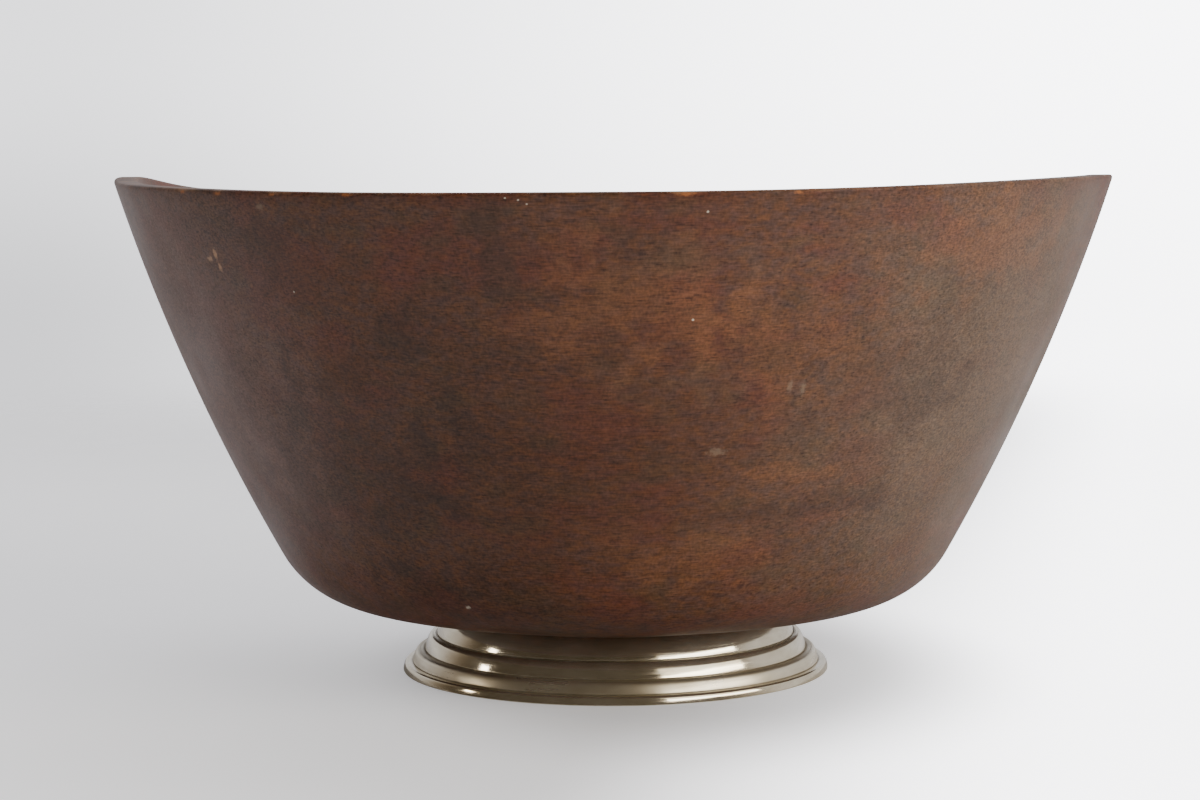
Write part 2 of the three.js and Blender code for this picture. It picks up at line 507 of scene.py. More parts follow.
@dataclass(frozen=True)
class StainedHardwood:
    """Mahogany-like hardwood, stained brown, thinly finished and rubbed by years of use.

    Turned from a plank with its grain along X, so long grain shows at the front and back and end
    grain at the tips. The eye sees short dark dashes along the grain, a finely mottled brown that
    wanders between warm and cool, cloudy patches in the stain and a dull satin sheen.

    Attributes:
        painted_sheen_and_stain: broad patches, with soft edges: painted sheen, grey where light
        glances off the film at the bowl's sides, and a patch of deep stain.
        patches: smaller patches in the stain, with torn edges.
        marks: small marks, scuffs and specks.
        spot_fade: where a spot starts to show and where it is full, in shares of its reach.
        clouds, streaks, fibres, grain: what makes the wood lighter and darker.
        shading_shift: how far apart their patterns lie, so that they differ.
        darkest: the least that the wood's lightness falls to.
        pore: how long and thick one pore's cell is.
        pore_span: how far from a cell's middle a pore starts and where it is full, in cells.
        pore_share: how much of its brown a full pore shows.
        pore_depth: how deep it is, as a share of the relief's depth.
        rim_patch: how long one worn patch of the rim is.
        rim_span: the wear's values where bare wood starts to show and where it shows most.
        rim_share: how much of it shows there.
        roughness: the film's roughness where it is smoothest and where it is dullest.
        dull_patch: how long one dull patch is.
        dull_span: the pattern's values where the film is smoothest and where it is dullest.
        dry_below: the heights between which the film thins towards the underside.
        gloss: the gloss level of the dry underside and of the film.
        rubbed_gloss: how much of the gloss is left where the rim is rubbed.
        relief: how strongly the pores and fibres bend the light, and how deep they are.
    """

    painted_sheen_and_stain: SpotKind
    patches: SpotKind
    marks: SpotKind
    name: str = "stained_hardwood"
    cool: str = "#4c362f"
    warm_mottle: StainCloud = StainCloud(
        "#583824", (3 * MM, 2 * MM, 1.6 * MM), 2.0, 5.3, (0.3, 0.7), 1.0
    )
    red_clouds: StainCloud = StainCloud(
        "#5c2c22", (22 * MM, 18 * MM, 11 * MM), 4.0, 11.9, (0.45, 0.66), 0.44
    )
    olive_clouds: StainCloud = StainCloud(
        "#443827", (12 * MM, 9 * MM, 6 * MM), 5.0, 23.7, (0.48, 0.7), 0.4
    )
    spot_fade: Pair = (1.05, 0.2)
    clouds: Shading = Shading((46 * MM, 42 * MM, 28 * MM), 3.0, 0.5)
    streaks: Shading = Shading((70 * MM, 6 * MM, 3 * MM), 3.0, 0.35)
    # Real fibres are about 0.03 mm thick and the pores 0.15 mm wide. Both are drawn coarser, or
    # the render would lose them.
    fibres: Shading = Shading((2.8 * MM, 0.7 * MM, 0.36 * MM), 1.5, 1.5)
    grain: Shading = Shading((0.6 * MM, 0.6 * MM, 0.85 * MM), 2.0, 1.3)
    shading_shift: float = 3.7
    darkest: float = 0.2
    pore: Triple = (5.5 * MM, 0.85 * MM, 0.85 * MM)
    pore_span: Pair = (0.25, 0.1)
    pore_brown: str = "#1f130f"
    pore_share: float = 0.5
    pore_depth: float = 0.7
    rim_patch: Triple = (7 * MM, 7 * MM, 3 * MM)
    rim_span: Pair = (0.36, 0.75)
    rim_share: float = 0.3
    roughness: Pair = (0.38, 0.52)
    dull_patch: float = 22 * MM
    dull_span: Pair = (0.3, 0.7)
    ior: float = 1.4
    dry_below: Pair = (20 * MM, 44 * MM)
    gloss: Pair = (0.08, 0.5)
    rubbed_gloss: float = 0.35
    relief: Pair = (0.3, 0.04 * MM)

    def material(self, outside: "WoodenBowl") -> bpy.types.Material:
        """Builds the finish.

        Args:
            outside: the bowl, which says where its spots lie.

        Returns:
            The material.
        """
        material, tree, shader = new_material(self.name)
        place = add_node(tree, "TexCoord").outputs["Object"]
        rim = add_node(tree, "Attribute", attribute_name="rim_wear").outputs["Fac"]
        scale = tuple(1 / size for size in self.pore)
        scaled = add_node(tree, "Mapping", {"Vector": place, "Scale": scale})
        pores = add_node(tree, "TexVoronoi", {"Vector": scaled, "Scale": 1.0})
        colour = linear(self.cool)
        for cloud in (self.warm_mottle, self.red_clouds, self.olive_clouds):
            pattern = cloudy(tree, place, cloud.sizes, cloud.detail, cloud.shift)
            colour = lay(tree, colour, cloud.colour, pattern, cloud.span, cloud.share)
        # Painted sheen: broad grey patches at the sides stand in for light glancing off the film. One
        # more patch is deep stain.
        colour = self.spotted(tree, place, colour, outside, self.painted_sheen_and_stain)
        colour = self.spotted(tree, place, colour, outside, self.patches)
        colour = add_node(
            tree, "VectorMath", {0: colour, "Scale": self.lightness(tree, place)}, operation="SCALE"
        )
        colour = lay(tree, colour, self.pore_brown, pores, self.pore_span, self.pore_share)
        broken = cloudy(tree, place, self.rim_patch, 5.0)
        worn = add_node(tree, "Math", {0: rim, 1: broken}, operation="MULTIPLY")
        colour = lay(tree, colour, Tint.BARE_WOOD.value, worn, self.rim_span, self.rim_share)
        colour = self.spotted(tree, place, colour, outside, self.marks)
        fill(tree, shader, {"Base Color": colour})
        self.set_relief(tree, shader, place, pores)
        self.set_sheen(tree, shader, place, rim)
        return material

    def lightness(self, tree: bpy.types.NodeTree, place: bpy.types.NodeSocket) -> bpy.types.Node:
        """How light the wood is, 1 on average: clouds, streaks, fibres and grain add up.

        Args:
            tree: the node tree.
            place: the place on the piece.

        Returns:
            The node that holds it.
        """
        parts = (self.clouds, self.streaks, self.fibres, self.grain)
        total = 1 - sum(part.share for part in parts) / 2
        for number, part in enumerate(parts):
            shift = self.shading_shift * number
            pattern = cloudy(tree, place, part.sizes, part.detail, shift)
            total = add_node(
                tree, "Math", {0: pattern, 1: part.share, 2: total}, operation="MULTIPLY_ADD"
            )
        return add_node(tree, "Math", {0: total, 1: self.darkest}, operation="MAXIMUM")

    def spotted(
        self,
        tree: bpy.types.NodeTree,
        place: bpy.types.NodeSocket,
        colour: bpy.types.Node,
        outside: "WoodenBowl",
        kind: SpotKind,
    ) -> bpy.types.Node:
        """Lays each spot over the colour, fading from its middle to a ragged edge.

        A spot shows by how far a place is from its middle, in shares of its reach each way, plus
        a cloudy pattern times how ragged it is.

        Args:
            tree: the node tree.
            place: the place on the piece.
            colour: what is there so far.
            outside: the bowl, which says where the spots lie.
            kind: the spots and their edges.

        Returns:
            The node that holds the colour with the spots.
        """
        torn = cloudy(tree, place, (kind.tear_size,) * 3, 4.0)
        span = tuple(reach + kind.tear / 2 for reach in self.spot_fade)
        for spot in kind.spots:
            middle = outside.spot(spot.angle, spot.height)
            away = add_node(tree, "VectorMath", {0: place, 1: middle}, operation="SUBTRACT")
            scale = tuple(1 / (size * MM) for size in (spot.length, spot.length, spot.depth))
            scaled = add_node(tree, "Mapping", {"Vector": away, "Scale": scale})
            distance = add_node(tree, "VectorMath", {0: scaled}, operation="LENGTH")
            ragged = add_node(
                tree,
                "Math",
                {0: torn, 1: kind.tear, 2: distance.outputs["Value"]},
                operation="MULTIPLY_ADD",
            )
            colour = lay(tree, colour, spot.tint.value, ragged, span, spot.strength)
        return colour

    def set_relief(
        self,
        tree: bpy.types.NodeTree,
        shader: bpy.types.Node,
        place: bpy.types.NodeSocket,
        pores: bpy.types.Node,
    ) -> None:
        """Sinks the pores into the film and raises the fibres.

        Args:
            tree: the node tree.
            shader: the shader.
            place: the place on the piece.
            pores: how far a place is from the nearest pore's middle, in cells.
        """
        sunk = add_node(
            tree,
            "MapRange",
            {
                "Value": pores,
                "From Min": self.pore_span[0],
                "From Max": self.pore_span[1],
                "To Max": -self.pore_depth,
            },
            interpolation_type="SMOOTHSTEP",
        )
        raised = cloudy(tree, place, self.fibres.sizes, 2.0, 2 * self.shading_shift)
        height = add_node(tree, "Math", {0: sunk, 1: raised}, operation="ADD")
        strength, depth = self.relief
        bump = add_node(tree, "Bump", {"Height": height, "Strength": strength, "Distance": depth})
        fill(tree, shader, {"Normal": bump})

    def set_sheen(
        self,
        tree: bpy.types.NodeTree,
        shader: bpy.types.Node,
        place: bpy.types.NodeSocket,
        rim: bpy.types.NodeSocket,
    ) -> None:
        """Sets the satin film: patchy, thin on the underside and rubbed along the rim.

        Args:
            tree: the node tree.
            shader: the shader.
            place: the place on the piece.
            rim: how worn the rim is there.
        """
        dullness = cloudy(tree, place, (self.dull_patch,) * 3, 4.0)
        height = add_node(tree, "SeparateXYZ", {"Vector": place}).outputs["Z"]
        roughness, film, unworn = (
            add_node(
                tree,
                "MapRange",
                {
                    "Value": value,
                    "From Min": start,
                    "From Max": end,
                    "To Min": first,
                    "To Max": last,
                },
            )
            for value, (start, end), (first, last) in (
                (dullness, self.dull_span, self.roughness),
                (height, self.dry_below, self.gloss),
                (rim, (0.0, 1.0), (1.0, self.rubbed_gloss)),
            )
        )
        level = add_node(tree, "Math", {0: film, 1: unworn}, operation="MULTIPLY")
        fill(
            tree, shader, {"Roughness": roughness, "Specular IOR Level": level, "IOR": self.ior}
        )


@dataclass(frozen=True)
class TarnishedSilver:
    """Spun silver, polished bright and lightly tarnished.

    It gives the eye sharp reflections on the beads, a warm grey cast, brown tarnish that has stayed
    in the grooves and fine polishing lines that run round the foot.

    Attributes:
        cloud: how long one cloud of tarnish film is along X, Y and Z.
        film_span: the pattern's values where the film starts to show and where it shows most.
        film_share: how much of the film shows there.
        groove_cloud: how much of the clouds adds to how deep a place is in a groove.
        stain_span: the sum where the tarnish starts to show and where it shows most.
        stain_share: how much of the tarnish shows there.
        roughness: how rough the clean silver is.
        film_rough: how much rougher it is under the film.
        dull_rough: how much rougher the lower bead is.
        stain_rough: how much rougher it is under the tarnish.
        line_rough: how much rougher a polishing line is.
        line: how wide and how long the polishing lines are.
        line_span: the pattern's values where a line starts and where it is full.
        relief: how strongly the lines bend the light, and how deep they are.
        bare: how much of the surface mirrors. The rest is a thin film that scatters light.
    """

    name: str = "tarnished_silver"
    bright: str = "#e0d6c0"
    film: str = "#a8966e"
    tarnish: str = "#7d6e54"
    cloud: Triple = (14 * MM, 14 * MM, 6 * MM)
    film_span: Pair = (0.35, 0.75)
    film_share: float = 0.65
    groove_cloud: float = 0.5
    stain_span: Pair = (0.55, 1.1)
    stain_share: float = 0.55
    roughness: float = 0.07
    film_rough: float = 0.04
    dull_rough: float = 0.2
    stain_rough: float = 0.45
    line_rough: float = 0.12
    line: Pair = (0.25 * MM, 30 * MM)
    line_span: Pair = (0.46, 0.7)
    relief: Pair = (0.08, 0.02 * MM)
    bare: float = 0.9

    def material(self) -> bpy.types.Material:
        """Builds the finish.

        The colour is the silver, with the film in clouds and the tarnish where the groove value
        plus a share of the clouds is high. The roughness is the clean silver's plus a share for
        each of the film, the dull bead, the tarnish and the polishing lines.

        Returns:
            The material.
        """
        material, tree, shader = new_material(self.name)
        place = add_node(tree, "TexCoord").outputs["Object"]
        groove = add_node(tree, "Attribute", attribute_name="groove").outputs["Fac"]
        dull = add_node(tree, "Attribute", attribute_name="dull").outputs["Fac"]
        cloud = cloudy(tree, place, self.cloud, 3.0)
        deep = add_node(
            tree, "Math", {0: cloud, 1: self.groove_cloud, 2: groove}, operation="MULTIPLY_ADD"
        )
        lines = self.lines(tree, place)
        film, stain, scratched = (
            add_node(
                tree,
                "MapRange",
                {"Value": value, "From Min": start, "From Max": end, "To Max": share},
            )
            for value, (start, end), share in (
                (cloud, self.film_span, self.film_share),
                (deep, self.stain_span, self.stain_share),
                (lines, self.line_span, 1.0),
            )
        )
        colour = linear(self.bright)
        for share, over in ((film, self.film), (stain, self.tarnish)):
            colour = add_node(
                tree, "Mix", {"Factor": share, "A": colour, "B": linear(over)}, data_type="RGBA"
            )
        roughness = self.roughness
        for value, rise in (
            (film, self.film_rough),
            (dull, self.dull_rough),
            (stain, self.stain_rough),
            (scratched, self.line_rough),
        ):
            roughness = add_node(
                tree, "Math", {0: value, 1: rise, 2: roughness}, operation="MULTIPLY_ADD"
            )
        strength, depth = self.relief
        bump = add_node(tree, "Bump", {"Height": lines, "Strength": strength, "Distance": depth})
        fill(tree, shader, {"Base Color": colour, "Roughness": roughness, "Normal": bump})
        fill(tree, shader, {"Metallic": self.bare})
        return material

    def lines(self, tree: bpy.types.NodeTree, place: bpy.types.NodeSocket) -> bpy.types.Node:
        """Polishing lines round the axis: noise that is fine across radius and height only.

        Args:
            tree: the node tree.
            place: the place on the piece.

        Returns:
            The node that holds the pattern.
        """
        width, length = self.line
        height = add_node(tree, "SeparateXYZ", {"Vector": place}).outputs["Z"]
        flat = add_node(tree, "VectorMath", {0: place, 1: (1.0, 1.0, 0.0)}, operation="MULTIPLY")
        radius = add_node(tree, "VectorMath", {0: flat}, operation="LENGTH")
        across = add_node(tree, "Math", {0: radius.outputs["Value"], 1: height}, operation="ADD")
        fine = add_node(tree, "Math", {0: across, 1: 1 / width}, operation="MULTIPLY")
        scaled = add_node(tree, "Mapping", {"Vector": place, "Scale": (1 / length,) * 3})
        around = add_node(tree, "SeparateXYZ", {"Vector": scaled})
        spot = add_node(
            tree, "CombineXYZ", {"X": fine, "Y": around.outputs["X"], "Z": around.outputs["Y"]}
        )
        return add_node(tree, "TexNoise", {"Vector": spot, "Scale": 1.0, "Detail": 3.0})


@dataclass(frozen=True)
class BareWood:
    """Plain unfinished hardwood with its grain along X, dry and matt, with fine pale fibres."""

    name: str = "bare_wood"
    pale: str = "#c39f72"
    brown: str = "#8f6a45"
    fibre: Triple = (22 * MM, 0.9 * MM, 0.9 * MM)
    relief: Pair = (0.4, 0.1 * MM)
    roughness: float = 0.75

    def material(self) -> bpy.types.Material:
        """Builds the finish and returns the material."""
        material, tree, shader = new_material(self.name)
        place = add_node(tree, "TexCoord").outputs["Object"]
        fibre = cloudy(tree, place, self.fibre, 4.0)
        colour = lay(tree, linear(self.brown), self.pale, fibre, (0.0, 1.0), curve="LINEAR")
        strength, depth = self.relief
        bump = add_node(tree, "Bump", {"Height": fibre, "Strength": strength, "Distance": depth})
        fill(tree, shader, {"Base Color": colour, "Normal": bump, "Roughness": self.roughness})
        return material


@dataclass(frozen=True)
class DullBrass:
    """Turned brass screw stock gone dull, yellow-brown with darker spots."""

    name: str = "dull_brass"
    yellow: str = "#b9944a"
    brown: str = "#6d5229"
    spot: float = 1.5 * MM
    spot_span: Pair = (0.45, 0.75)
    roughness: Pair = (0.25, 0.5)

    def material(self) -> bpy.types.Material:
        """Builds the finish and returns the material."""
        material, tree, shader = new_material(self.name)
        place = add_node(tree, "TexCoord").outputs["Object"]
        spots = cloudy(tree, place, (self.spot,) * 3, 4.0)
        colour = lay(tree, linear(self.yellow), self.brown, spots, self.spot_span, curve="LINEAR")
        smooth, rough = self.roughness
        roughness = add_node(tree, "MapRange", {"Value": spots, "To Min": smooth, "To Max": rough})
        fill(tree, shader, {"Base Color": colour, "Roughness": roughness, "Metallic": 1.0})
        return material


@dataclass(frozen=True)
class WoolFelt:
    """Pressed green wool felt: no weave, a short tangled nap and a soft sheen at glancing angles."""

    name: str = "wool_felt"
    green: str = "#24402f"
    dusty: str = "#3d5645"
    # Wool fibres are about 0.03 mm thick. The nap is drawn ten times coarser, so that it shows.
    nap: float = 0.35 * MM
    rubbed: float = 18 * MM
    dusty_span: Pair = (0.35, 0.65)
    relief: Pair = (0.8, 0.2 * MM)
    roughness: float = 0.95
    sheen: float = 0.35
    sheen_roughness: float = 0.5

    def material(self) -> bpy.types.Material:
        """Builds the finish and returns the material."""
        material, tree, shader = new_material(self.name)
        place = add_node(tree, "TexCoord").outputs["Object"]
        nap = cloudy(tree, place, (self.nap,) * 3, 4.0)
        rubbed = cloudy(tree, place, (self.rubbed,) * 3, 3.0)
        both = add_node(tree, "Mix", {"Factor": 0.5, "A": nap, "B": rubbed}, data_type="FLOAT")
        colour = lay(tree, linear(self.green), self.dusty, both, self.dusty_span, curve="LINEAR")
        strength, depth = self.relief
        bump = add_node(tree, "Bump", {"Height": nap, "Strength": strength, "Distance": depth})
        fill(tree, shader, {"Base Color": colour, "Normal": bump, "Roughness": self.roughness})
        fill(tree, shader, {"Sheen Weight": self.sheen, "Sheen Roughness": self.sheen_roughness})
        return material


@dataclass(frozen=True)
class Chip:
    """A place where the rim's outer edge is knocked away.

    Attributes:
        angle: degrees from the front, towards +X.
        width: how far it runs along the rim, in millimetres.
        depth: how deep it is, in millimetres.
    """

    angle: float
    width: float
    depth: float


@dataclass(frozen=True)
class Tip:
    """How the rim rises to one of its two tips.

    Attributes:
        rise: how far the tip stands above the rim's low height.
        swell: how late the broad part of the rise comes.
        share: how much of the rise is broad. The rest is a small point at the tip.
    """

    rise: float
    swell: float
    share: float


@dataclass
class WoodenBowl:
    """The turned bowl: a sloping underside, a round knee and a wall that curves to the rim.

    The rim is low at the front and back and rises to a tip at each end of the grain. It has warped
    as the wood dried: the right tip has sunk a little, and the rim rises to each tip in its own
    way. The reach, the top and the seat come from the frame. The other sizes are the bowl's own.

    Attributes:
        reach: the greatest radius, at the tips.
        top: the height of the tips.
        seat: the height of the face that stands on the foot.
        rim_drop: how far the rim's low height lies below the top.
        point: how sharp the small point of a tip is.
        edge_overhang: how far the wall's line passes the reach, before its edge is rounded.
        knee: how far the outer knee's middle lies from the axis, and the knee's own radius.
        inner_knee: the same for the inner knee.
        seat_radius: where the flat seat ends.
        wear_reach: how far below the rim its wear fades.
        rim_wear: how worn the rim is.
        chip_wear: how much more worn it is at a chip as deep as deep_chip.
        chip_lean: how much of a chip's depth the edge's corner moves in by.
    """

    reach: float
    top: float
    seat: float
    finish: StainedHardwood
    chips: tuple[Chip, ...]
    rim_drop: float = 6 * MM
    left_tip: Tip = Tip(6 * MM, 3.0, 0.68)
    right_tip: Tip = Tip(5 * MM, 2.1, 0.97)
    point: float = 36.0
    rim_thickness: float = 6 * MM
    rim_edge: float = 1.2 * MM
    edge_overhang: float = 0.25 * MM
    floor_thickness: float = 10 * MM
    knee: Pair = (63.5 * MM, 26 * MM)
    inner_knee: Pair = (59 * MM, 23.4 * MM)
    seat_radius: float = 45.8 * MM
    underside_slope: float = math.radians(10.3)
    floor_slope: float = math.radians(2)
    wall_slope: float = math.radians(61)
    wear_reach: float = 1.3 * MM
    rim_wear: float = 0.9
    chip_wear: float = 0.8
    deep_chip: float = 0.3 * MM
    chip_lean: float = 0.6
    sides: int = 512
    knee_steps: int = 22
    outer_steps: int = 40
    inner_steps: int = 36
    edge_steps: int = 8
    seat_steps: int = 4
    underside_steps: int = 8
    rim_steps: int = 4
    floor_steps: int = 13

    def side(
        self, line_start: Pair, slope: float, knee: Pair, reach: float
    ) -> tuple[np.ndarray, EvenCurve]:
        """One side of the wall: the knee at the end of a sloping line, and the wall above it.

        Args:
            line_start: where the sloping line starts.
            slope: the line's slope.
            knee: how far the knee's middle lies from the axis, and the knee's own radius.
            reach: the radius that the wall has at the height of the tips.

        Returns:
            The knee's points and the wall's curve.
        """
        middle, radius = knee
        start = middle + radius * math.sin(slope)
        height = line_start[1] + (start - line_start[0]) * math.tan(slope)
        centre = (middle, height + radius * math.cos(slope))
        bent = arc(centre, radius, slope, self.wall_slope, self.knee_steps)
        wall = EvenCurve(tuple(bent[-1]), self.wall_slope, (reach, self.top))
        return bent, wall

    def outside(self) -> tuple[np.ndarray, EvenCurve]:
        """The outer knee and wall."""
        start = (self.seat_radius, self.seat)
        reach = self.reach + self.edge_overhang
        return self.side(start, self.underside_slope, self.knee, reach)

    def inside(self) -> tuple[np.ndarray, EvenCurve]:
        """The inner knee and wall."""
        start = (0.0, self.seat + self.floor_thickness)
        reach = self.reach + self.edge_overhang - self.rim_thickness
        return self.side(start, self.floor_slope, self.inner_knee, reach)

    def rim_height(self, angle: np.ndarray) -> np.ndarray:
        """The rim's height: its low height plus the tip's rise times a share of how far it is there.

        How far is share * |sin angle|^swell + (1 - share) * |sin angle|^point: a broad rise and a
        small point on it. Each tip has its own rise, swell and share.

        Args:
            angle: angles around the bowl.

        Returns:
            The height at each.
        """
        side = np.abs(np.sin(angle))
        low = self.top - self.rim_drop
        left, right = (
            low + tip.rise * (tip.share * side**tip.swell + (1 - tip.share) * side**self.point)
            for tip in (self.left_tip, self.right_tip)
        )
        return np.where(np.sin(angle) < 0, left, right)

    def spot(self, angle: float, height: float) -> Triple:
        """The point on the outside that a spot is about.

        Args:
            angle: degrees from the front, towards +X.
            height: millimetres above the table.

        Returns:
            The point.
        """
        knee, wall = self.outside()
        line = np.concatenate([knee, wall.points(np.linspace(0.01, 1, 200))])
        radius = float(np.interp(height * MM, line[:, 1], line[:, 0]))
        turn = math.radians(angle)
        return (radius * math.sin(turn), -radius * math.cos(turn), height * MM)

    def knocked(self, angle: np.ndarray) -> np.ndarray:
        """How far the rim's outer edge is knocked away: a bell curve at each chip.

        Args:
            angle: angles around the bowl.

        Returns:
            The depth at each.
        """
        depth = np.zeros_like(angle)
        for chip in self.chips:
            away = (angle - math.radians(chip.angle) + np.pi) % (2 * np.pi) - np.pi
            depth += chip.depth * MM * np.exp(-((away * self.reach / (0.5 * chip.width * MM)) ** 2))
        return depth

    def wall_rows(self, wall: EvenCurve, top: np.ndarray, steps: int) -> np.ndarray:
        """Rows of points up a wall, evenly spaced from its foot to the top at each side."""
        return wall.points(np.linspace(0, 1, steps + 1)[:, None] * wall.share_below(top))

    def all_round(self, points: np.ndarray) -> np.ndarray:
        """Repeats points that are the same at every side."""
        return np.broadcast_to(points[:, None, :], (len(points), self.sides, 2))

    def outline(self) -> tuple[np.ndarray, np.ndarray, np.ndarray]:
        """The outline at every angle, from the middle of the seat round to the middle of the floor.

        Returns:
            Radius, height and rim wear, each by row and side.
        """
        angle = 2 * np.pi * np.arange(self.sides) / self.sides
        height = self.rim_height(angle)
        knocked = self.knocked(angle)
        outer_knee, outer_wall = self.outside()
        inner_knee, inner_wall = self.inside()
        floor = self.seat + self.floor_thickness
        edge = self.rim_edge + knocked
        outer = self.wall_rows(outer_wall, height - edge, self.outer_steps)
        inner = self.wall_rows(inner_wall, height - self.rim_edge, self.inner_steps)
        outer_top = outer_wall.points(outer_wall.share_below(height))[:, 0]
        inner_top = inner_wall.points(inner_wall.share_below(height))[:, 0]
        outer_edge = bend(
            outer[-1],
            np.stack([outer_top - self.chip_lean * knocked, height], axis=-1),
            np.stack([outer_top - edge, height], axis=-1),
            self.edge_steps,
        )
        inner_edge = bend(
            np.stack([inner_top + self.rim_edge, height], axis=-1),
            np.stack([inner_top, height], axis=-1),
            inner[-1],
            self.edge_steps,
        )
        seat_end = (self.seat_radius, self.seat)
        seat_rows = np.linspace((0.0, self.seat), seat_end, self.seat_steps + 1)
        underside_rows = np.linspace(seat_end, outer_knee[0], self.underside_steps + 1)[1:-1]
        rim_rows = np.linspace(outer_edge[-1], inner_edge[0], self.rim_steps + 1)[1:-1]
        floor_rows = np.linspace(inner_knee[0], (0.0, floor), self.floor_steps + 1)[1:]
        outer_parts = [
            self.all_round(seat_rows),
            self.all_round(underside_rows),
            self.all_round(outer_knee),
            outer[1:-1],
            outer_edge,
        ]
        inner_parts = [
            rim_rows,
            inner_edge,
            inner[1:-1][::-1],
            self.all_round(inner_knee[::-1]),
            self.all_round(floor_rows),
        ]
        rows = np.concatenate([*outer_parts, *inner_parts])
        wear = self.rim_wear * np.exp(-(((rows[..., 1] - height) / self.wear_reach) ** 2))
        outer_count = sum(len(part) for part in outer_parts)
        wear[:outer_count] *= 1 + self.chip_wear * knocked / self.deep_chip
        return rows[..., 0], rows[..., 1], wear

    def build(self) -> bpy.types.Object:
        """Builds and dresses the bowl, in place of its plain solid, and returns it."""
        radius, height, wear = self.outline()
        piece = turned("bowl_wood", radius, height, Closure.ON_AXIS, {"rim_wear": wear})
        piece.data.materials.append(self.finish.material(self))
        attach(piece, BODY)
        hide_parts("bowl_body")
        return piece


@dataclass(frozen=True)
class Step:
    """One step of the silver foot.

    Attributes:
        base: the height of its lower edge.
        height: how tall it is.
        radius: its greatest radius.
        above: the radius where it meets the next step.
    """

    base: float
    height: float
    radius: float
    above: float


